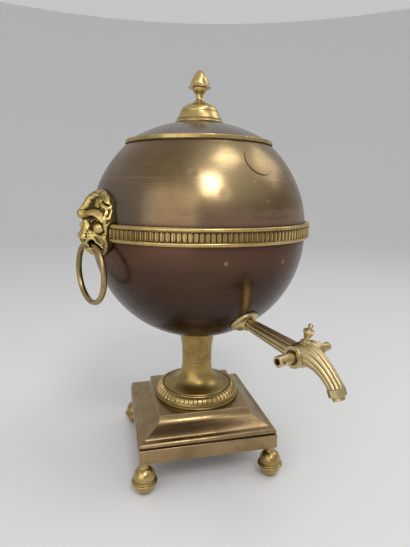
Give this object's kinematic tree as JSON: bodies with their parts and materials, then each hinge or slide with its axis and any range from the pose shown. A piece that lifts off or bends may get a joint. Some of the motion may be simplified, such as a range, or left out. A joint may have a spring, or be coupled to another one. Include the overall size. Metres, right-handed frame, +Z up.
{
  "type": "globe tea urn with plug tap",
  "caption": "Globe-shaped tea urn on a turned stem and square plinth, with ball feet, lion-mask ring handles, a reeded plug tap and a lift-off domed lid with acorn finial.",
  "frame": {"origin": "on the globe's vertical axis, at floor level under the feet", "axes": "+Z up; -Y towards the tap; +X and -X towards the two lion masks; the plinth and feet are turned 23 degrees about Z against them"},
  "size_m": [0.2808, 0.3321, 0.4401],
  "materials": {
    "patinated_copper": "brown patinated copper, dull polish",
    "brass": "worn bright brass",
    "pale_brass": "pale brass, grimy in the hollows",
    "bronzed_brass": "warm brown brass, edges rubbed bright",
    "iron": "dark oxide"
  },
  "bodies": {
    "urn": {"lower_shell": "patinated_copper", "upper_shell": "patinated_copper", "girdle_band": "brass", "mouth_rim": "brass", "cartouche_disc": "patinated_copper", "heater_well": "pale_brass", "mask_left": "brass", "mask_right": "brass", "mask_nuts": "brass", "tap_escutcheon": "brass", "tap_body": "pale_brass", "tap_nozzle": "pale_brass", "tap_finial": "pale_brass", "tap_backnut": "brass", "stem_collar": "brass", "stem_coupling": "brass", "stem_trumpet": "brass", "tie_rod": "iron", "tie_washer": "iron", "tie_nut": "iron", "plinth": "bronzed_brass", "foot_front_left": "bronzed_brass", "foot_front_right": "bronzed_brass", "foot_back_left": "bronzed_brass", "foot_back_right": "bronzed_brass", "foot_nuts": "iron"},
    "lid": {"lid_ring": "brass", "lid_bezel": "brass", "lid_dome": "patinated_copper", "lid_cap": "brass", "lid_finial": "brass", "lid_nut": "brass"},
    "well_cap": {"heater_cap": "brass"},
    "iron": {"heater_iron": "iron"},
    "ring_left": {"ring_handle_left": "brass"},
    "ring_right": {"ring_handle_right": "brass"},
    "plug": {"tap_plug": "pale_brass", "plug_washer": "brass", "plug_nut": "pale_brass"}
  },
  "joints": [
    {"name": "lid_lift", "type": "slide", "parent": "urn", "child": "lid", "axis": [0, 0, 1], "range_m": [0, 0.15]},
    {"name": "well_cap_lift", "type": "slide", "parent": "urn", "child": "well_cap", "axis": [0, 0, 1], "range_m": [0, 0.018]},
    {"name": "iron_lift", "type": "slide", "parent": "urn", "child": "iron", "axis": [0, 0, 1], "range_m": [0, 0.01]},
    {"name": "ring_left_swing", "type": "hinge", "parent": "urn", "child": "ring_left", "pos_m": [-0.128, 0, 0.264], "axis": [0, 1, 0], "range_deg": [-12, 90]},
    {"name": "ring_right_swing", "type": "hinge", "parent": "urn", "child": "ring_right", "pos_m": [0.128, 0, 0.264], "axis": [0, -1, 0], "range_deg": [-12, 90]},
    {"name": "plug_turn", "type": "hinge", "parent": "urn", "child": "plug", "pos_m": [0, -0.1595, 0.17359], "axis": [1, 0, 0], "continuous": true}
  ]
}
